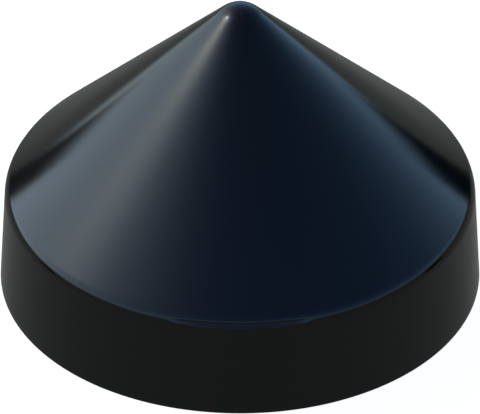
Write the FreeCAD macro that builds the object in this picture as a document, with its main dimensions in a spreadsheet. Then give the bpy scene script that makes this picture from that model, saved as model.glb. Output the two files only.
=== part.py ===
"""Conical pile cap: one thin-walled black plastic moulding that slips over the top of a round pile.

The cap is a body of revolution about +Z and stands on its open rim, with its origin at the centre of
that rim. From the rim up, its outside is a skirt with moulding draft, a rounded shoulder, a straight
cone that sheds water, and a rounded tip. The wall is equally thick all over, so the inside repeats the
outside: a slightly tapered socket for the pile, with the cone's hollow above it. All lengths are in
millimetres and all angles in degrees.
"""

import FreeCAD, Part

import math
import os
from typing import NamedTuple

import Sketcher

NODE = "pile_cap"

DIMENSIONS = (
    ("pile_diameter", 254.0, "round pile that the cap slips over, nominal 10 inches"),
    ("pile_clearance", 1.0, "least play around the pile, at the height of the shoulder"),
    ("wall", 3.5, "thickness of the moulded wall, everywhere"),
    ("draft_angle", 2.7, "lean of the skirt from the vertical, wider towards the rim"),
    ("skirt_height", 59.3, "rim up to the corner where skirt and cone would meet unrounded"),
    ("cone_slope", 44.7, "rise of the cone above the horizontal"),
    ("shoulder_radius", 11.4, "outer rounding between skirt and cone"),
    ("tip_radius", 17.2, "outer rounding of the tip"),
    ("rim_radius", 0.8, "rounding of both edges of the rim"),
)

# Half the pile, its play, and the wall as a level cut shows it: how far out skirt and cone would meet.
CORNER_REACH = (
    "sizes.pile_diameter / 2 + sizes.pile_clearance + sizes.wall / cos(sizes.draft_angle * 1 deg)"
)

# How a sketch counts the ends of an edge and the centre of an arc, and its own axes.
START, END, CENTRE = range(1, 4)
LEVEL_AXIS, UPRIGHT_AXIS = range(-1, -3, -1)

# Two heights this close are the same height.
NEAR = 1e-4


class Surface(NamedTuple):
    """One side of the wall in the section: the sketch's numbers for its edges, from the rim up."""

    skirt: int
    shoulder: int
    cone: int
    tip: int


def make_sizes(document):
    """Writes each driving dimension on a row of the spreadsheet: name, value with its alias, meaning."""
    sizes = document.addObject("Spreadsheet::Sheet", "sizes")
    for row, (name, value, meaning) in enumerate(DIMENSIONS, start=1):
        sizes.set(f"A{row}", name)
        sizes.set(f"B{row}", str(value))
        sizes.set(f"C{row}", meaning)
        sizes.setAlias(f"B{row}", name)
    document.recompute()
    return sizes


def outward(angle):
    """The unit vector in the sketch that stands at this angle above the level."""
    return FreeCAD.Vector(math.cos(angle), math.sin(angle), 0)


def corner_of(sizes):
    """Where the outside of the skirt and of the cone would meet if the shoulder weren't rounded."""
    level_wall = sizes.wall / math.cos(math.radians(sizes.draft_angle))
    reach = sizes.pile_diameter / 2 + sizes.pile_clearance + level_wall
    return FreeCAD.Vector(reach, sizes.skirt_height, 0)


def draw_surface(sketch, sizes, inset):
    """Draws one side of the wall, this far inside the outer one: skirt, shoulder, cone and tip.

    Both sides share the centres of the two roundings. The positions come from the sheet, so that the
    sketch's solver only has to confirm them.
    """
    skirt_angle = math.radians(sizes.draft_angle)
    cone_angle = math.radians(90 - sizes.cone_slope)
    skirt_normal = outward(skirt_angle)
    cone_normal = outward(cone_angle)

    corner = corner_of(sizes)
    half_turn = (cone_angle - skirt_angle) / 2
    corner_to_centre = sizes.shoulder_radius / math.cos(half_turn)
    shoulder_centre = corner - outward(skirt_angle + half_turn) * corner_to_centre
    shoulder_radius = sizes.shoulder_radius - inset

    sharp_tip = corner.y + corner.x / math.tan(cone_angle)
    tip_centre = FreeCAD.Vector(0, sharp_tip - sizes.tip_radius / math.sin(cone_angle), 0)
    tip_radius = sizes.tip_radius - inset

    skirt_top = shoulder_centre + skirt_normal * shoulder_radius
    rim = FreeCAD.Vector(skirt_top.x + skirt_top.y * math.tan(skirt_angle), 0, 0)
    cone_foot = shoulder_centre + cone_normal * shoulder_radius
    cone_top = tip_centre + cone_normal * tip_radius

    face_on = FreeCAD.Vector(0, 0, 1)
    shoulder_circle = Part.Circle(shoulder_centre, face_on, shoulder_radius)
    tip_circle = Part.Circle(tip_centre, face_on, tip_radius)
    return Surface(
        skirt=sketch.addGeometry(Part.LineSegment(rim, skirt_top)),
        shoulder=sketch.addGeometry(Part.ArcOfCircle(shoulder_circle, skirt_angle, cone_angle)),
        cone=sketch.addGeometry(Part.LineSegment(cone_foot, cone_top)),
        tip=sketch.addGeometry(Part.ArcOfCircle(tip_circle, cone_angle, math.pi / 2)),
    )


def bind(sketch, name, expression, *constraint):
    """Adds a dimension to the sketch under a name and ties it to the spreadsheet."""
    index = sketch.addConstraint(Sketcher.Constraint(*constraint))
    sketch.renameConstraint(index, name)
    sketch.setExpression(f"Constraints.{name}", expression)


def draw_section(body, sizes):
    """Half of the cap's section: a closed outline of the wall, from the rim to the axis and back."""
    sketch = body.newObject("Sketcher::SketchObject", "wall_section")
    upright_plane = next(item for item in body.Origin.OriginFeatures if item.Role == "XZ_Plane")
    sketch.AttachmentSupport = (upright_plane, "")
    sketch.MapMode = "FlatFace"

    outer = draw_surface(sketch, sizes, 0)
    inner = draw_surface(sketch, sizes, sizes.wall)
    corner = sketch.addGeometry(Part.Point(corner_of(sizes)), True)
    ends = {
        name: (sketch.getPoint(getattr(outer, name), end), sketch.getPoint(getattr(inner, name), end))
        for name, end in (("skirt", START), ("tip", END))
    }
    rim_line = sketch.addGeometry(Part.LineSegment(*ends["skirt"]))
    axis_line = sketch.addGeometry(Part.LineSegment(*ends["tip"]))

    relations = [
        ("PointOnObject", corner, START, outer.skirt),
        ("PointOnObject", corner, START, outer.cone),
        ("PointOnObject", outer.tip, CENTRE, UPRIGHT_AXIS),
        ("Coincident", inner.shoulder, CENTRE, outer.shoulder, CENTRE),
        ("Coincident", inner.tip, CENTRE, outer.tip, CENTRE),
        ("Parallel", inner.skirt, outer.skirt),
        ("Coincident", rim_line, START, outer.skirt, START),
        ("Coincident", rim_line, END, inner.skirt, START),
        ("Coincident", axis_line, START, outer.tip, END),
        ("Coincident", axis_line, END, inner.tip, END),
    ]
    for side in (outer, inner):
        relations += [
            ("PointOnObject", side.skirt, START, LEVEL_AXIS),
            ("Tangent", side.skirt, END, side.shoulder, START),
            ("Tangent", side.shoulder, END, side.cone, START),
            ("Tangent", side.cone, END, side.tip, START),
            ("PointOnObject", side.tip, END, UPRIGHT_AXIS),
        ]
    for relation in relations:
        sketch.addConstraint(Sketcher.Constraint(*relation))

    reach = corner_of(sizes).x
    skirt_lean = math.radians(90 + sizes.draft_angle)
    cone_lean = math.radians(180 - sizes.cone_slope)
    inner_shoulder = sizes.shoulder_radius - sizes.wall
    inner_tip = sizes.tip_radius - sizes.wall
    for name, expression, *constraint in (
        ("reach", CORNER_REACH, "DistanceX", corner, START, reach),
        ("height", "sizes.skirt_height", "DistanceY", corner, START, sizes.skirt_height),
        ("skirt_lean", "90 deg + sizes.draft_angle * 1 deg", "Angle", outer.skirt, skirt_lean),
        ("cone_lean", "180 deg - sizes.cone_slope * 1 deg", "Angle", outer.cone, cone_lean),
        ("shoulder", "sizes.shoulder_radius", "Radius", outer.shoulder, sizes.shoulder_radius),
        ("tip", "sizes.tip_radius", "Radius", outer.tip, sizes.tip_radius),
        (
            "inner_shoulder", "sizes.shoulder_radius - sizes.wall",
            "Radius", inner.shoulder, inner_shoulder,
        ),
        ("inner_tip", "sizes.tip_radius - sizes.wall", "Radius", inner.tip, inner_tip),
    ):
        bind(sketch, name, expression, *constraint)
    return sketch


def rim_edges(shape):
    """Names of the two round edges at the foot of the wall."""
    return [
        f"Edge{index}"
        for index, edge in enumerate(shape.Edges, start=1)
        if not edge.Degenerated
        and isinstance(edge.Curve, Part.Circle)
        and edge.BoundBox.ZMax < NEAR
    ]


def make_cap(document):
    """Turns the section about the upright axis and rounds both edges of the rim."""
    body = document.addObject("PartDesign::Body", "cap_body")
    body.Label = NODE
    section = draw_section(body, document.sizes)
    document.recompute()

    turned = body.newObject("PartDesign::Revolution", "turned_wall")
    turned.Profile = section
    turned.ReferenceAxis = (section, ["V_Axis"])
    turned.Angle = 360
    document.recompute()

    rounded = body.newObject("PartDesign::Fillet", "rim_rounding")
    rounded.Base = (turned, rim_edges(turned.Shape))
    rounded.setExpression("Radius", "sizes.rim_radius")
    body.Tip = rounded
    document.recompute()
    return body


def check(document, body):
    """Stops the build where an object failed or the cap isn't one sound solid."""
    for item in document.Objects:
        if "Invalid" in item.State or "Error" in item.State:
            raise RuntimeError(f"{item.Name} did not build: {item.State}")
    if not document.getObject("wall_section").FullyConstrained:
        raise RuntimeError("the section is not fully dimensioned")
    shape = body.Shape
    if shape.isNull() or not shape.isValid() or len(shape.Solids) != 1:
        raise RuntimeError(f"{body.Label} is not one sound solid")


def main():
    """Builds the document, checks it and writes the solid."""
    document = FreeCAD.newDocument("pile_cap")
    make_sizes(document)
    body = make_cap(document)
    check(document, body)

    os.makedirs("parts", exist_ok=True)
    body.Shape.exportStep(os.path.join("parts", f"{body.Label}.step"))
    box = body.Shape.optimalBoundingBox(True, False)
    print(f"{body.Label}: {box.XLength:.2f} x {box.YLength:.2f} x {box.ZLength:.2f} mm,")
    print(f"volume {body.Shape.Volume:.0f} cubic mm, {len(body.Shape.Faces)} faces")


main()
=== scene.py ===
"""Looks of a conical pile cap: one black moulded shell on a pale floor, inside a tent of soft light.

The cap is a body of revolution about +Z that stands on its open rim. Its reach and its height come from
the frame, and the few sizes of its moulding give every other place in its section. Lengths are in metres
and angles in radians, unless a name says degrees.
"""

import logging
import math
from dataclasses import dataclass
from enum import Enum

import bpy
import numpy as np
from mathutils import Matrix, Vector

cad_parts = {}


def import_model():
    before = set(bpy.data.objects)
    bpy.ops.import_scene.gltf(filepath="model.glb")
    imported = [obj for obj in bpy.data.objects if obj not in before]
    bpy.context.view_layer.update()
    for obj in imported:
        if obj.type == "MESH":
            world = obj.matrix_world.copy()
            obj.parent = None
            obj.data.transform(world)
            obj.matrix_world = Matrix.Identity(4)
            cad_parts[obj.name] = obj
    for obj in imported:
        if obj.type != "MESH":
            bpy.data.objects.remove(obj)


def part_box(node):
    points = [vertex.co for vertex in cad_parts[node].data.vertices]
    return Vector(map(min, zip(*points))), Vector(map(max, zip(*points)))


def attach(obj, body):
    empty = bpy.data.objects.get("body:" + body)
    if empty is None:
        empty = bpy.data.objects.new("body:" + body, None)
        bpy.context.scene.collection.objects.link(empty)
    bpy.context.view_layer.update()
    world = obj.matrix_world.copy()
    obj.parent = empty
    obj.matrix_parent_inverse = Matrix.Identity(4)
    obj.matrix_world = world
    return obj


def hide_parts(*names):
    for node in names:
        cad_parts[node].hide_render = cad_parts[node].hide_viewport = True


log = logging.getLogger("pile_cap")

Colour = tuple[float, float, float]
Socket = bpy.types.NodeSocket

NODE = "pile_cap"
BODY = "root"

MILLIMETRE = 0.001
QUARTER_TURN = math.pi / 2
FULL_TURN = 2 * math.pi

WHITE = (1.0, 1.0, 1.0, 1.0)

# Noise stays mostly between 0.3 and 0.7. Each pair of limits says how much of it is turned into spots.
CLOUD_LIMITS = (0.3, 0.7)
RUB_LIMITS = (0.35, 0.65)
SCUFF_LIMITS = (0.58, 0.72)
SCUFF_PATCH_LIMITS = (0.5, 0.7)


class Side(Enum):
    """The two faces of the wall. The value is the share of the wall that lies outside the face."""

    OUTSIDE = 0.0
    INSIDE = 1.0


class Ray(Enum):
    """The kinds of ray that a backdrop can tell apart, by the name of their output."""

    CAMERA = "Is Camera Ray"
    GLOSSY = "Is Glossy Ray"
    TRANSMISSION = "Is Transmission Ray"


class Graph:
    """A node tree being wired: it adds nodes and joins their sockets."""

    def __init__(self, tree: bpy.types.NodeTree) -> None:
        """Takes over a tree and empties it.

        Args:
            tree: the tree of a material, a world or a node group.
        """
        self.tree = tree
        tree.nodes.clear()

    def node(self, kind: str, **settings: object) -> bpy.types.Node:
        """Adds a node.

        Args:
            kind: the node's type name.
            settings: properties of the node, by name.

        Returns:
            The new node.
        """
        node = self.tree.nodes.new(kind)
        for name, value in settings.items():
            setattr(node, name, value)
        return node

    def feed(self, socket: Socket, source: object) -> None:
        """Joins a socket to another one, or sets it to a plain value.

        Args:
            socket: the input that is fed.
            source: an output socket, a number, or a vector or colour.
        """
        if isinstance(source, bpy.types.NodeSocket):
            self.tree.links.new(source, socket)
        else:
            socket.default_value = source

    def math(self, operation: str, *values: object) -> Socket:
        """Adds a Math node.

        Args:
            operation: the node's operation.
            values: its inputs, each a socket or a number.

        Returns:
            The result's socket.
        """
        node = self.node("ShaderNodeMath", operation=operation)
        for socket, value in zip(node.inputs, values):
            self.feed(socket, value)
        return node.outputs["Value"]

    def vector(self, operation: str, *values: object) -> bpy.types.Node:
        """Adds a Vector Math node.

        Args:
            operation: the node's operation.
            values: its inputs, each a socket or a vector.

        Returns:
            The node, which has a vector and a value among its outputs.
        """
        node = self.node("ShaderNodeVectorMath", operation=operation)
        for socket, value in zip(node.inputs, values):
            self.feed(socket, value)
        return node

    def range(self, value: Socket, low: object, high: object) -> Socket:
        """Turns a value into 0 below one limit and 1 above the other, easing in and out between them.

        Args:
            value: the socket that is read.
            low: where the result is 0.
            high: where the result is 1.

        Returns:
            The result's socket.
        """
        node = self.node("ShaderNodeMapRange", interpolation_type="SMOOTHSTEP")
        self.feed(node.inputs["Value"], value)
        self.feed(node.inputs["From Min"], low)
        self.feed(node.inputs["From Max"], high)
        return node.outputs["Result"]

    def bell(self, off: Socket, spread: float) -> Socket:
        """Turns a distance into e to the power of minus half its square, counted in spreads.

        Args:
            off: the distance from the bell's middle.
            spread: the distance at which the bell has fallen to about 0.6.

        Returns:
            The result's socket.
        """
        steps = self.math("DIVIDE", off, spread)
        return self.math("EXPONENT", self.math("MULTIPLY", self.math("MULTIPLY", steps, steps), -0.5))

    def between(self, share: Socket, first: object, second: object) -> Socket:
        """Goes from one number to another.

        Args:
            share: the share of the second number.
            first: a number or its socket.
            second: a number or its socket.

        Returns:
            The result's socket.
        """
        step = self.math("SUBTRACT", second, first)
        return self.math("ADD", first, self.math("MULTIPLY", share, step))

    def mix(self, share: object, first: object, second: object) -> Socket:
        """Mixes two colours.

        Args:
            share: the share of the second colour.
            first: a colour or its socket.
            second: a colour or its socket.

        Returns:
            The mixed colour's socket.
        """
        node = self.node("ShaderNodeMix", data_type="RGBA")
        self.feed(node.inputs["Factor"], share)
        colours = [socket for socket in node.inputs if socket.type == "RGBA"]
        for socket, colour in zip(colours, (first, second)):
            self.feed(socket, colour if isinstance(colour, bpy.types.NodeSocket) else (*colour, 1.0))
        return next(socket for socket in node.outputs if socket.type == "RGBA")

    def noise(self, place: Socket, size: object, detail: float = 2.0) -> Socket:
        """Adds noise with spots of a given size.

        Args:
            place: where the noise is read.
            size: the width of a spot, a number or a socket.
            detail: how many finer layers are added.

        Returns:
            The noise's socket, about 0.5 on average.
        """
        node = self.node("ShaderNodeTexNoise", noise_dimensions="3D")
        self.feed(node.inputs["Vector"], place)
        self.feed(node.inputs["Scale"], self.math("DIVIDE", 1.0, size))
        self.feed(node.inputs["Detail"], detail)
        return node.outputs["Fac"]

    def finish(self, surface: Socket, kind: str = "ShaderNodeOutputMaterial") -> None:
        """Sends the finished shader to the tree's output.

        Args:
            surface: the shader's socket.
            kind: the type name of the output node.
        """
        self.feed(self.node(kind).inputs["Surface"], surface)


def new_material(name: str) -> tuple[bpy.types.Material, Graph]:
    """Makes a material with an empty tree.

    Args:
        name: the material's name.

    Returns:
        The material and the graph of its tree.
    """
    material = bpy.data.materials.new(name)
    material.use_nodes = True
    return material, Graph(material.node_tree)


def new_group(name: str, inputs: dict[str, str], outputs: dict[str, str]) -> tuple[Graph, dict, dict]:
    """Makes an empty shader node group.

    Args:
        name: the group's name.
        inputs: the type of each input socket, by its name.
        outputs: the type of each output socket, by its name.

    Returns:
        The group's graph, the sockets that bring its inputs, and the sockets that take its outputs.
    """
    tree = bpy.data.node_groups.new(name, "ShaderNodeTree")
    for label, kind in inputs.items():
        tree.interface.new_socket(label, in_out="INPUT", socket_type=kind)
    for label, kind in outputs.items():
        tree.interface.new_socket(label, in_out="OUTPUT", socket_type=kind)
    graph = Graph(tree)
    entry = graph.node("NodeGroupInput")
    leave = graph.node("NodeGroupOutput")
    return graph, {n: entry.outputs[n] for n in inputs}, {n: leave.inputs[n] for n in outputs}


def place_group(graph: Graph, tree: bpy.types.NodeTree, **values: object) -> bpy.types.Node:
    """Places a node group in another tree and sets its inputs.

    Args:
        graph: the tree that takes it.
        tree: the group.
        values: its inputs, by their names with spaces written as underscores.

    Returns:
        The group's node.
    """
    node = graph.node("ShaderNodeGroup", node_tree=tree)
    for name, value in values.items():
        graph.feed(node.inputs[name.replace("_", " ").capitalize()], value)
    return node


def grain_group() -> bpy.types.NodeTree:
    """The skin of moulded plastic: fine grain, a slow ripple of the mould, and cloudy gloss.

    Returns:
        A group with the outputs Height, in metres, and Cloud, from 0 to 1.
    """
    graph, given, result = new_group(
        "moulded_skin",
        {
            "Place": "NodeSocketVector",
            "Grain size": "NodeSocketFloat",
            "Grain height": "NodeSocketFloat",
            "Ripple size": "NodeSocketFloat",
            "Ripple height": "NodeSocketFloat",
            "Cloud size": "NodeSocketFloat",
        },
        {"Height": "NodeSocketFloat", "Cloud": "NodeSocketFloat"},
    )
    grain = graph.noise(given["Place"], given["Grain size"], detail=1.0)
    ripple = graph.noise(given["Place"], given["Ripple size"], detail=0.0)
    height = graph.math(
        "ADD",
        graph.math("MULTIPLY", grain, given["Grain height"]),
        graph.math("MULTIPLY", ripple, given["Ripple height"]),
    )
    graph.feed(result["Height"], height)
    cloud = graph.noise(given["Place"], given["Cloud size"], detail=3.0)
    graph.feed(result["Cloud"], graph.range(cloud, *CLOUD_LIMITS))
    return graph.tree


def rub_group() -> bpy.types.NodeTree:
    """Wear where the cap is set down and handled: a ragged band of rubbed plastic above a level.

    Returns:
        A group with the output Rub, which is 1 at the level and 0 above the band.
    """
    graph, given, result = new_group(
        "rubbed_edge",
        {
            "Place": "NodeSocketVector",
            "Level": "NodeSocketFloat",
            "Band": "NodeSocketFloat",
            "Patch size": "NodeSocketFloat",
        },
        {"Rub": "NodeSocketFloat"},
    )
    axes = graph.node("ShaderNodeSeparateXYZ")
    graph.feed(axes.inputs["Vector"], given["Place"])
    above = graph.math("SUBTRACT", axes.outputs["Z"], given["Level"])
    patches = graph.noise(given["Place"], given["Patch size"], detail=4.0)
    reach = graph.math("MULTIPLY", graph.math("MULTIPLY", given["Band"], 2.0), patches)
    near = graph.math("SUBTRACT", 1.0, graph.range(above, 0.0, reach))
    graph.feed(result["Rub"], graph.math("MULTIPLY", near, graph.range(patches, *RUB_LIMITS)))
    return graph.tree


def scuff_group() -> bpy.types.NodeTree:
    """Hairline scuffs that run around the cap, from handling and stacking.

    Returns:
        A group with the output Scuff, from 0 to 1.
    """
    graph, given, result = new_group(
        "hairline_scuffs",
        {
            "Place": "NodeSocketVector",
            "Line width": "NodeSocketFloat",
            "Line length": "NodeSocketFloat",
            "Patch size": "NodeSocketFloat",
        },
        {"Scuff": "NodeSocketFloat"},
    )
    axes = graph.node("ShaderNodeSeparateXYZ")
    graph.feed(axes.inputs["Vector"], given["Place"])
    along = graph.math("DIVIDE", given["Line width"], given["Line length"])
    drawn = graph.node("ShaderNodeCombineXYZ")
    graph.feed(drawn.inputs["X"], graph.math("MULTIPLY", axes.outputs["X"], along))
    graph.feed(drawn.inputs["Y"], graph.math("MULTIPLY", axes.outputs["Y"], along))
    graph.feed(drawn.inputs["Z"], axes.outputs["Z"])
    lines = graph.noise(drawn.outputs["Vector"], given["Line width"], detail=1.0)
    patches = graph.noise(given["Place"], given["Patch size"], detail=2.0)
    line = graph.range(lines, *SCUFF_LIMITS)
    patch = graph.range(patches, *SCUFF_PATCH_LIMITS)
    graph.feed(result["Scuff"], graph.math("MULTIPLY", line, patch))
    return graph.tree


@dataclass(frozen=True)
class MouldedPlastic:
    """Glossy black moulded polyethylene, with faint grain, cloudy gloss and a rubbed rim."""

    name: str = "black_moulded_plastic"
    base: Colour = (0.0050, 0.0047, 0.0040)
    rubbed: Colour = (0.012, 0.012, 0.012)
    ior: float = 1.5
    gloss_roughness: float = 0.13
    cloud_roughness: float = 0.02
    scuff_roughness: float = 0.06
    rub_roughness: float = 0.25
    grain_size: float = 0.8 * MILLIMETRE
    grain_height: float = 0.0020 * MILLIMETRE
    ripple_size: float = 9 * MILLIMETRE
    ripple_height: float = 0.006 * MILLIMETRE
    cloud_size: float = 35 * MILLIMETRE
    rub_band: float = 1.6 * MILLIMETRE
    rub_patch: float = 6 * MILLIMETRE
    scuff_width: float = 0.4 * MILLIMETRE
    scuff_length: float = 30 * MILLIMETRE
    scuff_patch: float = 45 * MILLIMETRE

    def material(self) -> bpy.types.Material:
        """Wires the finish.

        Returns:
            The finished material.
        """
        material, graph = new_material(self.name)
        place = graph.node("ShaderNodeTexCoord").outputs["Object"]
        skin = place_group(
            graph, grain_group(), place=place, grain_size=self.grain_size, grain_height=self.grain_height,
            ripple_size=self.ripple_size, ripple_height=self.ripple_height, cloud_size=self.cloud_size,
        )
        rub = place_group(
            graph, rub_group(), place=place, level=0.0, band=self.rub_band, patch_size=self.rub_patch,
        ).outputs["Rub"]
        scuff = place_group(
            graph, scuff_group(), place=place, line_width=self.scuff_width, line_length=self.scuff_length,
            patch_size=self.scuff_patch,
        ).outputs["Scuff"]

        shader = graph.node("ShaderNodeBsdfPrincipled")
        shader.inputs["IOR"].default_value = self.ior
        graph.feed(shader.inputs["Base Color"], graph.mix(rub, self.base, self.rubbed))
        cloud = graph.math("MULTIPLY", skin.outputs["Cloud"], self.cloud_roughness)
        worn = graph.math("MULTIPLY", scuff, self.scuff_roughness)
        rubbed = graph.math("MULTIPLY", rub, self.rub_roughness)
        plain = graph.math("ADD", self.gloss_roughness, cloud)
        graph.feed(shader.inputs["Roughness"], graph.math("ADD", plain, graph.math("ADD", worn, rubbed)))

        bump = graph.node("ShaderNodeBump")
        bump.inputs["Distance"].default_value = 1.0
        graph.feed(bump.inputs["Height"], skin.outputs["Height"])
        graph.feed(shader.inputs["Normal"], bump.outputs["Normal"])

        graph.finish(shader.outputs["BSDF"])
        return material


def surface_between_poles(rows: np.ndarray, first: Vector, last: Vector, name: str) -> bpy.types.Mesh:
    """A closed surface over a grid whose columns go round and whose rows run from one pole to the other.

    Point (row, column) is joined to its neighbours below and beside it, the last column to the first, and
    the first and the last row each to a pole. With columns that go anticlockwise seen from +Z and rows
    that run down the outside, the faces point outwards.

    Args:
        rows: the points, an array of rows by columns by 3.
        first: the pole before the first row.
        last: the pole after the last row.
        name: the mesh's name.

    Returns:
        The mesh, shaded smooth.
    """
    count, around = rows.shape[:2]
    index = np.arange(count * around).reshape(count, around)
    beside = np.roll(index, -1, axis=1)
    quads = np.stack([index[:-1], index[1:], beside[1:], beside[:-1]], axis=-1).reshape(-1, 4)
    first_index, last_index = count * around, count * around + 1
    top = np.stack([np.full(around, first_index), index[0], beside[0]], axis=-1)
    end = np.stack([np.full(around, last_index), beside[-1], index[-1]], axis=-1)
    points = np.concatenate([rows.reshape(-1, 3), [first, last]])
    mesh = bpy.data.meshes.new(name)
    mesh.from_pydata(points.tolist(), [], quads.tolist() + top.tolist() + end.tolist())
    mesh.polygons.foreach_set("use_smooth", np.ones(len(mesh.polygons), dtype=bool))
    mesh.update()
    return mesh


def new_object(name: str, mesh: bpy.types.Mesh) -> bpy.types.Object:
    """Puts a mesh into the scene as an object at the origin.

    Args:
        name: the object's name.
        mesh: its mesh.

    Returns:
        The object.
    """
    piece = bpy.data.objects.new(name, mesh)
    bpy.context.scene.collection.objects.link(piece)
    return piece


def new_plate(name: str, outline: np.ndarray, material: bpy.types.Material) -> bpy.types.Object:
    """Makes a flat plate with one face.

    Args:
        name: the name of the object and of its mesh.
        outline: the corners in order, an array of corners by 3.
        material: the plate's material.

    Returns:
        The plate's object.
    """
    mesh = bpy.data.meshes.new(name)
    mesh.from_pydata(outline.tolist(), [], [list(range(len(outline)))])
    mesh.materials.append(material)
    return new_object(name, mesh)


@dataclass(frozen=True)
class Rounding:
    """A round stretch of the section: its centre, its radius and the tilt of its normal at both ends."""

    centre: np.ndarray
    radius: float
    start: float
    end: float

    def points(self, step: float) -> np.ndarray:
        """Points at centre + radius * (cos tilt, sin tilt), with the tilt in even steps.

        Args:
            step: the largest step of the tilt.

        Returns:
            An array of points by radius, height.
        """
        count = max(2, math.ceil(abs(self.end - self.start) / step) + 1)
        tilt = np.linspace(self.start, self.end, count)
        return self.centre + self.radius * np.stack([np.cos(tilt), np.sin(tilt)], axis=-1)


@dataclass(frozen=True)
class Wave:
    """One swell of a mark: how far it stands out, and the tilts at its crest and over its spread."""

    rise: float
    crest: float
    spread: float

    def at(self, tilt: np.ndarray) -> np.ndarray:
        """How far the surface stands out: rise * e to the power of minus half the square of the steps.

        A step is one spread away from the crest.

        Args:
            tilt: angles above the level, seen from the shoulder's centre.

        Returns:
            An array of lengths.
        """
        return self.rise * np.exp(-0.5 * ((tilt - self.crest) / self.spread) ** 2)


@dataclass(frozen=True)
class ShoulderMark:
    """A flow mark of the moulding: a faint groove over a low swell, on the front of the shoulder."""

    azimuth: float = -QUARTER_TURN
    half_width: float = math.radians(18.0)
    groove: Wave = Wave(-0.44 * MILLIMETRE, math.radians(19.0), math.radians(5.0))
    swell: Wave = Wave(0.15 * MILLIMETRE, math.radians(12.0), math.radians(2.5))

    def rise(self, tilt: np.ndarray, turn: np.ndarray) -> np.ndarray:
        """How far the mark lifts the surface along its normal.

        Towards both sides the swell thins out steadily, and the groove keeps its depth for longer.

        Args:
            tilt: angles above the level, seen from the shoulder's centre, one for each row.
            turn: angles about the axis, one for each column.

        Returns:
            An array of lengths, rows by columns.
        """
        off = np.remainder(turn - self.azimuth + math.pi, FULL_TURN) - math.pi
        square = np.minimum(1.0, (off / self.half_width) ** 2)
        groove = self.groove.at(tilt)[:, None] * (1.0 - square**2)
        swell = self.swell.at(tilt)[:, None] * (1.0 - square)
        return groove + swell


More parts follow.
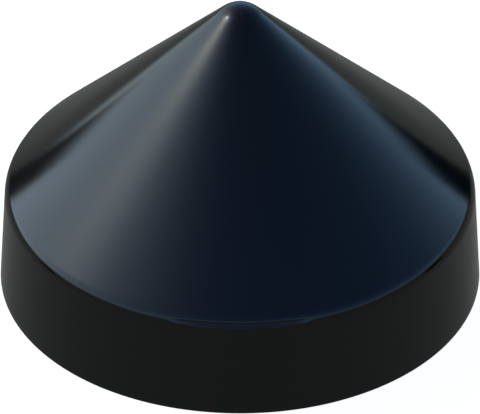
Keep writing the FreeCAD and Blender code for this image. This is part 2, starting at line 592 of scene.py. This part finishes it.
@dataclass
class CapShell:
    """The cap: a wall of even thickness turned about the axis, with the inside like the outside.

    The section is a tip, a cone, a shoulder and a skirt with moulding draft, closed by a rounded rim.
    """

    reach: float
    height: float
    wall: float = 3.5 * MILLIMETRE
    draft: float = math.radians(2.7)
    slope: float = math.radians(44.7)
    shoulder_radius: float = 11.4 * MILLIMETRE
    tip_radius: float = 17.2 * MILLIMETRE
    rim_radius: float = 0.8 * MILLIMETRE
    columns: int = 360
    shoulder_step: float = math.radians(0.8)
    tip_step: float = math.radians(1.5)
    rim_step: float = math.radians(12)
    straight_step: float = 6 * MILLIMETRE
    mark: ShoulderMark = ShoulderMark()

    def cone_tilt(self) -> float:
        """Tilt of the cone's normal above the level."""
        return QUARTER_TURN - self.slope

    def rim_centre(self, side: Side) -> np.ndarray:
        """Centre of the rim's rounding on one side of the wall.

        The outer one is a radius inside the cap's reach. The inner one lies so that its circle touches
        the inner skirt, which is the outer skirt moved inwards by the wall.

        Args:
            side: the side of the wall.

        Returns:
            Its radius and height.
        """
        outer = np.array([self.reach - self.rim_radius, self.rim_radius])
        if side is Side.OUTSIDE:
            return outer
        inwards = (self.wall - 2 * self.rim_radius) / math.cos(self.draft)
        return outer - np.array([inwards, 0.0])

    def shoulder_centre(self) -> np.ndarray:
        """Centre of the shoulder, which both sides of the wall share.

        The centre is a shoulder radius inside the outer skirt and inside the outer cone. The skirt
        passes the rim's rounding, and the cone passes the tip's, each at that rounding's radius.

        Returns:
            Its radius and height.
        """
        skirt_normal = np.array([math.cos(self.draft), math.sin(self.draft)])
        cone_normal = np.array([math.cos(self.cone_tilt()), math.sin(self.cone_tilt())])
        skirt_reach = self.rim_centre(Side.OUTSIDE) @ skirt_normal + self.rim_radius
        cone_reach = self.tip_centre() @ cone_normal + self.tip_radius
        reaches = np.array([skirt_reach, cone_reach]) - self.shoulder_radius
        return np.linalg.solve(np.stack([skirt_normal, cone_normal]), reaches)

    def tip_centre(self) -> np.ndarray:
        """Centre of the tip, on the axis, which both sides of the wall share."""
        return np.array([0.0, self.height - self.tip_radius])

    def face(self, side: Side) -> np.ndarray:
        """One face of the wall, from beside the pole of the tip down to the rim's flat.

        Args:
            side: the face.

        Returns:
            An array of points by radius, height.
        """
        inset = side.value * self.wall
        tip = Rounding(self.tip_centre(), self.tip_radius - inset, QUARTER_TURN, self.cone_tilt())
        shoulder = Rounding(
            self.shoulder_centre(), self.shoulder_radius - inset, self.cone_tilt(), self.draft
        )
        rim_start = self.draft if side is Side.OUTSIDE else self.draft + math.pi
        rim_end = -QUARTER_TURN if side is Side.OUTSIDE else QUARTER_TURN + math.pi
        rim = Rounding(self.rim_centre(side), self.rim_radius, rim_start, rim_end)
        tip_points = tip.points(self.tip_step)[1:]
        shoulder_points = shoulder.points(self.shoulder_step)
        rim_points = rim.points(self.rim_step)
        return np.concatenate([
            tip_points,
            self.between(tip_points[-1], shoulder_points[0]),
            shoulder_points,
            self.between(shoulder_points[-1], rim_points[0]),
            rim_points,
        ])

    def between(self, start: np.ndarray, end: np.ndarray) -> np.ndarray:
        """Points inside a straight stretch, spaced evenly.

        Args:
            start: where the stretch starts.
            end: where it ends.

        Returns:
            An array of points, without the two ends.
        """
        count = math.ceil(float(np.linalg.norm(end - start)) / self.straight_step)
        share = np.linspace(0, 1, count + 1)[1:-1, None]
        return start + share * (end - start)

    def turned(self, face: np.ndarray, turn: np.ndarray, marked: bool) -> np.ndarray:
        """Turns one face of the wall: point (row, column) is (r cos turn, r sin turn, height).

        The mark moves a point straight away from the shoulder's centre.

        Args:
            face: points by radius, height.
            turn: angles about the axis.
            marked: whether the face bears the shoulder's mark.

        Returns:
            An array of rows by columns by 3.
        """
        away = face - self.shoulder_centre()
        tilt = np.arctan2(away[:, 1], away[:, 0])
        rise = self.mark.rise(tilt, turn) if marked else np.zeros((len(face), len(turn)))
        radius = face[:, :1] + rise * np.cos(tilt)[:, None]
        height = face[:, 1:] + rise * np.sin(tilt)[:, None]
        return np.stack([radius * np.cos(turn), radius * np.sin(turn), height], axis=-1)

    def build(self) -> bpy.types.Object:
        """Builds both faces of the wall as one closed surface.

        Returns:
            The cap's object.
        """
        turn = np.linspace(0, FULL_TURN, self.columns, endpoint=False)
        outside = self.turned(self.face(Side.OUTSIDE), turn, marked=True)
        inside = self.turned(self.face(Side.INSIDE), turn, marked=False)
        rows = np.concatenate([outside, inside[::-1]])
        inner_top = self.height - self.wall
        mesh = surface_between_poles(rows, Vector((0, 0, self.height)), Vector((0, 0, inner_top)), NODE)
        return new_object("cap_shell", mesh)

    def dress(self, piece: bpy.types.Object) -> None:
        """Gives the cap its finish and sets it in the frame.

        Args:
            piece: the cap's object.
        """
        piece.data.materials.append(MouldedPlastic().material())
        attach(piece, BODY)
        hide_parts(NODE)


def shown_to(graph: Graph, *kinds: Ray) -> Socket:
    """A mask that is 1 for some kinds of ray.

    Args:
        graph: the tree of a material or a world.
        kinds: the kinds of ray.

    Returns:
        The mask's socket.
    """
    path = graph.node("ShaderNodeLightPath")
    mask = path.outputs[kinds[0].value]
    for kind in kinds[1:]:
        mask = graph.math("MAXIMUM", mask, path.outputs[kind.value])
    return mask


@dataclass(frozen=True)
class StudioFloor:
    """The pale floor: white to the eye, with the cap's soft shadow, and a dim grey in the gloss.

    In the gloss the grey is dimmer in a strip behind the cap: a painted shadow, standing in for the cap's
    shadow there.
    """

    radius: float = 0.56
    sides: int = 96
    albedo: float = 0.25
    glow: float = 0.95
    mirrored: Colour = (0.184, 0.194, 0.186)
    painted_shadow: float = 0.2
    painted_shadow_distance: float = 0.225
    painted_shadow_spread: float = 0.05

    def build(self) -> bpy.types.Object:
        """Makes the floor, a disc about the axis at the height of the rim.

        Returns:
            The floor's object.
        """
        turn = np.linspace(0, FULL_TURN, self.sides, endpoint=False)
        outline = np.stack([np.cos(turn), np.sin(turn), np.zeros_like(turn)], axis=-1) * self.radius
        floor = new_plate("studio_floor", outline, self.material())
        return floor

    def material(self) -> bpy.types.Material:
        """Wires the floor: lit pale cloth with a lift for the eye, and a grey with a painted shadow for
        gloss.

        Returns:
            The floor's material.
        """
        material, graph = new_material("studio_floor")
        cloth = graph.node("ShaderNodeBsdfDiffuse")
        cloth.inputs["Color"].default_value = (self.albedo, self.albedo, self.albedo, 1.0)
        lift = graph.node("ShaderNodeEmission")
        seen = shown_to(graph, Ray.CAMERA, Ray.TRANSMISSION)
        graph.feed(lift.inputs["Strength"], graph.math("MULTIPLY", seen, self.glow))
        lit = graph.node("ShaderNodeAddShader")
        graph.feed(lit.inputs[0], cloth.outputs["BSDF"])
        graph.feed(lit.inputs[1], lift.outputs["Emission"])
        grey = graph.node("ShaderNodeEmission")
        graph.feed(grey.inputs["Color"], (*self.mirrored, 1.0))
        axes = graph.node("ShaderNodeSeparateXYZ")
        graph.feed(axes.inputs["Vector"], graph.node("ShaderNodeTexCoord").outputs["Object"])
        # Painted shadow: the gloss grey dims in a bell-shaped strip across Y, behind the cap.
        off = graph.math("SUBTRACT", axes.outputs["Y"], self.painted_shadow_distance)
        painted_shadow = graph.math("MULTIPLY", graph.bell(off, self.painted_shadow_spread), self.painted_shadow)
        graph.feed(grey.inputs["Strength"], graph.math("SUBTRACT", 1.0, painted_shadow))
        mix = graph.node("ShaderNodeMixShader")
        graph.feed(mix.inputs["Fac"], shown_to(graph, Ray.GLOSSY))
        graph.feed(mix.inputs[1], lit.outputs["Shader"])
        graph.feed(mix.inputs[2], grey.outputs["Emission"])
        graph.finish(mix.outputs["Shader"])
        return material


@dataclass(frozen=True)
class TentPlace:
    """A place on the tent as sockets. Azimuths count from the camera's side, negative to its left."""

    direction: Socket
    azimuth: Socket
    elevation: Socket
    height: Socket

    @classmethod
    def of(cls, graph: Graph, radius: float) -> "TentPlace":
        """Reads the place that is shaded.

        Args:
            graph: the tree of the tent's material.
            radius: the tent's radius.

        Returns:
            The place's sockets.
        """
        place = graph.node("ShaderNodeTexCoord").outputs["Object"]
        axes = graph.node("ShaderNodeSeparateXYZ")
        graph.feed(axes.inputs["Vector"], place)
        towards_camera = graph.math("MULTIPLY", axes.outputs["Y"], -1.0)
        return cls(
            direction=graph.vector("NORMALIZE", place).outputs["Vector"],
            azimuth=graph.math("ARCTAN2", axes.outputs["X"], towards_camera),
            elevation=graph.math("ARCSINE", graph.math("DIVIDE", axes.outputs["Z"], radius)),
            height=axes.outputs["Z"],
        )


class Profile:
    """How light falls off with an angle."""

    def share(self, graph: Graph, angle: Socket) -> Socket:
        """The share of the light at an angle.

        Args:
            graph: the tree of the tent's material.
            angle: the angle in radians.

        Returns:
            The share's socket.
        """
        raise NotImplementedError


@dataclass(frozen=True)
class Fade(Profile):
    """Falls off as e to the power of minus the angle over the spread."""

    spread_degrees: float

    def share(self, graph: Graph, angle: Socket) -> Socket:
        """The share of the light at an angle; Profile names the arguments."""
        return graph.math("EXPONENT", graph.math("DIVIDE", angle, -math.radians(self.spread_degrees)))


@dataclass(frozen=True)
class Bell(Profile):
    """Falls off to both sides of a middle, as e to the power of minus half the square of the steps."""

    middle_degrees: float
    spread_degrees: float

    def share(self, graph: Graph, angle: Socket) -> Socket:
        """The share of the light at an angle.

        Args:
            graph: the tree of the tent's material.
            angle: the angle in radians.

        Returns:
            The share's socket.
        """
        off = graph.math("SUBTRACT", angle, math.radians(self.middle_degrees))
        short_way = graph.math("WRAP", off, math.pi, -math.pi)
        return graph.bell(short_way, math.radians(self.spread_degrees))


@dataclass(frozen=True)
class Plateau(Profile):
    """Even around a middle out to an edge, and none beyond it; the edge itself is soft."""

    middle_degrees: float
    edge_degrees: float
    softness_degrees: float

    def share(self, graph: Graph, angle: Socket) -> Socket:
        """The share of the light at an angle.

        Args:
            graph: the tree of the tent's material.
            angle: the angle in radians.

        Returns:
            The share's socket.
        """
        edge, soft = math.radians(self.edge_degrees), math.radians(self.softness_degrees)
        off = graph.math("ABSOLUTE", graph.math("SUBTRACT", angle, math.radians(self.middle_degrees)))
        return graph.math("SUBTRACT", 1.0, graph.range(off, edge - soft, edge + soft))


@dataclass(frozen=True)
class Veil:
    """A wide field of light on the cloth. Without a profile it is even in that direction."""

    colour: Colour
    elevation: Profile | None = None
    azimuth: Profile | None = None

    def share(self, graph: Graph, place: TentPlace) -> Socket | float:
        """The share of the veil's colour at a place.

        Args:
            graph: the tree of the tent's material.
            place: the place on the tent.

        Returns:
            The share, a socket or a number.
        """
        share = 1.0
        for profile, angle in ((self.elevation, place.elevation), (self.azimuth, place.azimuth)):
            if profile is not None:
                share = graph.math("MULTIPLY", share, profile.share(graph, angle))
        return share


@dataclass(frozen=True)
class Glow:
    """The round glow of a lamp through the cloth."""

    colour: Colour
    azimuth_degrees: float
    elevation_degrees: float
    profile: Profile

    def direction(self) -> Vector:
        """Which way the lamp lies: (sin a cos e, -cos a cos e, sin e), with azimuth a and elevation e.

        Returns:
            The unit vector from the floor's middle to the lamp.
        """
        azimuth = math.radians(self.azimuth_degrees)
        elevation = math.radians(self.elevation_degrees)
        level = math.cos(elevation)
        return Vector((math.sin(azimuth) * level, -math.cos(azimuth) * level, math.sin(elevation)))

    def share(self, graph: Graph, place: TentPlace) -> Socket:
        """The share of the lamp's colour at a place.

        Args:
            graph: the tree of the tent's material.
            place: the place on the tent.

        Returns:
            The share's socket.
        """
        nearness = graph.vector("DOT_PRODUCT", place.direction, self.direction()).outputs["Value"]
        return self.profile.share(graph, graph.math("ARCCOSINE", nearness))


@dataclass(frozen=True)
class Flag:
    """A black flag that hides an upright strip of the cloth."""

    azimuth_degrees: float
    half_width_degrees: float
    height: float
    half_height: float
    softness: float
    softness_degrees: float = 2.0

    def outside(self, graph: Graph, place: TentPlace) -> Socket:
        """A mask of what the flag leaves open.

        Args:
            graph: the tree of the tent's material.
            place: the place on the tent.

        Returns:
            The mask's socket.
        """
        off = graph.math("SUBTRACT", place.azimuth, math.radians(self.azimuth_degrees))
        beside = graph.math("ABSOLUTE", graph.math("WRAP", off, math.pi, -math.pi))
        edge, soft = math.radians(self.half_width_degrees), math.radians(self.softness_degrees)
        above = graph.math("ABSOLUTE", graph.math("SUBTRACT", place.height, self.height))
        low, high = self.half_height - self.softness, self.half_height + self.softness
        return graph.math(
            "MAXIMUM", graph.range(beside, edge - soft, edge + soft), graph.range(above, low, high)
        )


@dataclass(frozen=True)
class GreyFoot:
    """The tent's grey foot, which is lit no more than the floor.

    In front its top edge rises to the camera's right, and behind the cap it stands higher still.
    """

    colour: Colour = (0.166, 0.176, 0.167)
    front_height: float = 0.055
    right_rise: float = 0.042
    right_start_degrees: float = 20.0
    right_end_degrees: float = 110.0
    back_height: float = 0.185
    front_softness: float = 0.014
    back_softness: float = 0.052
    back_left_degrees: float = 143.5
    back_right_degrees: float = 140.5
    turn_softness_degrees: float = 17.0

    def mask(self, graph: Graph, place: TentPlace) -> Socket:
        """A mask of the foot.

        Args:
            graph: the tree of the tent's material.
            place: the place on the tent.

        Returns:
            The mask's socket.
        """
        soft = math.radians(self.turn_softness_degrees)
        left, right = math.radians(self.back_left_degrees), math.radians(self.back_right_degrees)
        to_left = graph.math("MULTIPLY", place.azimuth, -1.0)
        behind = graph.math(
            "MAXIMUM",
            graph.range(to_left, left - soft, left + soft),
            graph.range(place.azimuth, right - soft, right + soft),
        )
        start, end = math.radians(self.right_start_degrees), math.radians(self.right_end_degrees)
        to_right = graph.range(place.azimuth, start, end)
        front = graph.between(to_right, self.front_height, self.front_height + self.right_rise)
        top = graph.between(behind, front, self.back_height)
        softness = graph.between(behind, self.front_softness, self.back_softness)
        above = graph.math("DIVIDE", graph.math("SUBTRACT", place.height, top), softness)
        return graph.math("SUBTRACT", 1.0, graph.range(above, -1.0, 1.0))


@dataclass(frozen=True)
class LightTent:
    """A dome of cloth around the cap, lit from outside. The eye sees through it.

    Its light is a dim blue that pales downwards, a bright column at the cap's left under a lamp, and a
    pale field behind the cap between two black flags, all above a grey foot.

    A flag is given by its azimuth and half its width in degrees, then by the height of its middle and
    half its height. A glow is given by its colour, then by its azimuth and elevation in degrees.
    """

    radius: float = 0.52
    depth: float = 0.05
    rings: int = 32
    columns: int = 96
    foot: GreyFoot = GreyFoot()
    flags: tuple[Flag, ...] = (
        Flag(-131.0, 5.6, 0.081, 0.066, softness=0.038),
        Flag(130.6, 6.3, 0.084, 0.062, softness=0.038),
    )
    overhead: Veil = Veil((0.066, 0.056, 0.0))
    pale_sky: Veil = Veil(
        (0.0, 0.198, 0.705), elevation=Fade(58.0), azimuth=Plateau(20.0, 153.0, 18.0)
    )
    low_band: Veil = Veil((0.07, 0.07, 0.05), elevation=Bell(13.0, 10.0))
    rear_sky: Veil = Veil((0.0, 0.24, 0.85), elevation=Fade(58.0), azimuth=Bell(180.0, 15.0))
    left_edge: Veil = Veil((0.45, 0.24, 0.0), elevation=Bell(3.5, 4.0), azimuth=Bell(-93.0, 20.0))
    horizon: Veil = Veil(
        (0.24, 0.33, 0.32), elevation=Bell(6.0, 6.0), azimuth=Plateau(25.0, 78.0, 16.0)
    )
    back_field: Veil = Veil((1.12, 1.74, 2.08), elevation=Fade(19.6), azimuth=Bell(151.9, 39.2))
    column: Veil = Veil(
        (1.41, 1.70, 1.75), elevation=Plateau(0.0, 58.0, 17.8), azimuth=Bell(-105.5, 33.6)
    )
    halo: Glow = Glow((0.45, 0.45, 2.05), -105.0, 57.0, Fade(12.3))
    bloom: Glow = Glow((0.74, 0.84, 0.32), -103.0, 56.0, Bell(0.0, 11.5))
    lamp: Glow = Glow((5.2, 5.0, 3.3), -99.5, 55.2, Bell(0.0, 5.6))
    spark: Glow = Glow((24.0, 24.0, 19.0), -107.2, 59.6, Bell(0.0, 1.6))
    side_glow: Glow = Glow((0.75, 0.72, 0.63), -85.5, 36.7, Bell(0.0, 7.3))

    def build(self) -> bpy.types.Object:
        """Makes the dome: point (ring, column) is radius * (cos e cos t, cos e sin t, sin e).

        Returns:
            The dome's object.
        """
        turn = np.linspace(0, FULL_TURN, self.columns, endpoint=False)
        rise = np.linspace(QUARTER_TURN, 0, self.rings + 1)[1:, None]
        level = self.radius * np.cos(rise)
        height = np.broadcast_to(self.radius * np.sin(rise), (self.rings, self.columns))
        rows = np.stack([level * np.cos(turn), level * np.sin(turn), height], axis=-1)
        top, bottom = Vector((0, 0, self.radius)), Vector((0, 0, -self.depth))
        mesh = surface_between_poles(rows, top, bottom, "light_tent")
        mesh.materials.append(self.material())
        tent = new_object("light_tent", mesh)
        tent.visible_camera = False
        return tent

    def material(self) -> bpy.types.Material:
        """Wires the cloth's light from its place on the dome.

        Returns:
            The tent's material.
        """
        material, graph = new_material("light_tent")
        place = TentPlace.of(graph, self.radius)
        seen = graph.mix(self.foot.mask(graph, place), self.cloth_light(graph, place), self.foot.colour)
        open_share = 1.0
        for flag in self.flags:
            open_share = graph.math("MULTIPLY", open_share, flag.outside(graph, place))
        emission = graph.node("ShaderNodeEmission")
        graph.feed(emission.inputs["Color"], seen)
        graph.feed(emission.inputs["Strength"], open_share)
        graph.finish(emission.outputs["Emission"])
        return material

    def cloth_light(self, graph: Graph, place: TentPlace) -> Socket:
        """The light that comes through the cloth, which is the sum of its veils and glows.

        Args:
            graph: the tree of the tent's material.
            place: the place on the tent.

        Returns:
            The light's socket.
        """
        total = (0.0, 0.0, 0.0)
        for part in (
            self.overhead, self.pale_sky, self.rear_sky, self.low_band, self.left_edge, self.horizon,
            self.back_field, self.column, self.halo, self.bloom, self.lamp, self.spark, self.side_glow,
        ):
            scaled = graph.vector("SCALE", part.colour)
            graph.feed(scaled.inputs["Scale"], part.share(graph, place))
            total = graph.vector("ADD", total, scaled.outputs["Vector"]).outputs["Vector"]
        return total


@dataclass(frozen=True)
class DarkCard:
    """A black oval that stands beside the cap. Only gloss shows it, as a short stroke on the shoulder."""

    name: str
    azimuth_degrees: float
    middle_height: float
    half_width: float
    half_height: float = 0.020
    distance: float = 0.30
    sides: int = 48

    def build(self) -> bpy.types.Object:
        """Makes the card, upright and square to the axis: middle + sideways cos t + upward sin t.

        Returns:
            The card's object.
        """
        azimuth = math.radians(self.azimuth_degrees)
        outwards = np.array([math.sin(azimuth), -math.cos(azimuth), 0.0])
        middle = self.distance * outwards + np.array([0.0, 0.0, self.middle_height])
        sideways = self.half_width * np.array([math.cos(azimuth), math.sin(azimuth), 0.0])
        upward = np.array([0.0, 0.0, self.half_height])
        turn = np.linspace(0, FULL_TURN, self.sides, endpoint=False)[:, None]
        outline = middle + sideways * np.cos(turn) + upward * np.sin(turn)
        card = new_plate(self.name, outline, self.material())
        card.visible_camera = False
        card.visible_diffuse = False
        card.visible_shadow = False
        return card

    def material(self) -> bpy.types.Material:
        """Wires the card: black, with no light of its own.

        Returns:
            The card's material.
        """
        material, graph = new_material(self.name)
        cloth = graph.node("ShaderNodeBsdfDiffuse")
        cloth.inputs["Color"].default_value = (0.0, 0.0, 0.0, 1.0)
        graph.finish(cloth.outputs["BSDF"])
        return material


def white_surroundings() -> None:
    """Makes the world white to the eye, to gloss and through glass, and dark for everything else."""
    world = bpy.data.worlds.new("surroundings")
    world.use_nodes = True
    bpy.context.scene.world = world
    graph = Graph(world.node_tree)
    background = graph.node("ShaderNodeBackground")
    graph.feed(background.inputs["Color"], WHITE)
    seen = shown_to(graph, Ray.CAMERA, Ray.GLOSSY, Ray.TRANSMISSION)
    graph.feed(background.inputs["Strength"], seen)
    graph.finish(background.outputs["Background"], "ShaderNodeOutputWorld")


@dataclass(frozen=True)
class Viewpoint:
    """The camera: far off, with a long lens, looking down on the cap at the isometric angle."""

    elevation_degrees: float = 35.2644
    distance: float = 10.7496
    aim_height: float = 45.86 * MILLIMETRE
    lens: float = 1440.7
    sensor: float = 36.0

    def build(self) -> bpy.types.Object:
        """Makes the camera and looks through it.

        Returns:
            The camera's object.
        """
        camera = bpy.data.cameras.new("viewpoint")
        camera.lens = self.lens
        camera.sensor_width = self.sensor
        camera.clip_end = 2 * self.distance
        elevation = math.radians(self.elevation_degrees)
        towards_camera = Vector((0.0, -math.cos(elevation), math.sin(elevation)))
        viewpoint = bpy.data.objects.new("viewpoint", camera)
        viewpoint.location = Vector((0.0, 0.0, self.aim_height)) + self.distance * towards_camera
        viewpoint.rotation_euler = towards_camera.to_track_quat("Z", "Y").to_euler()
        bpy.context.scene.collection.objects.link(viewpoint)
        bpy.context.scene.camera = viewpoint
        return viewpoint


def main() -> None:
    """Loads the frame, builds the cap and the studio around it, and logs what it built."""
    logging.basicConfig(level=logging.INFO, format="%(name)s: %(message)s")
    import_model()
    bpy.context.scene.view_settings.view_transform = "Standard"
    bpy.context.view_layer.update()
    low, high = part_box(NODE)

    shell = CapShell(reach=(high.x - low.x) / 2, height=high.z - low.z)
    piece = shell.build()
    shell.dress(piece)
    log.info("%s has %d faces", piece.name, len(piece.data.polygons))

    white_surroundings()
    cards = (
        DarkCard("left_card", azimuth_degrees=-80.0, middle_height=0.027, half_width=0.028),
        DarkCard("right_card", azimuth_degrees=81.0, middle_height=0.045, half_width=0.032),
    )
    for stage in (StudioFloor(), LightTent(), *cards, Viewpoint()):
        log.info("%s is in place", stage.build().name)


if __name__ == "__main__":
    main()
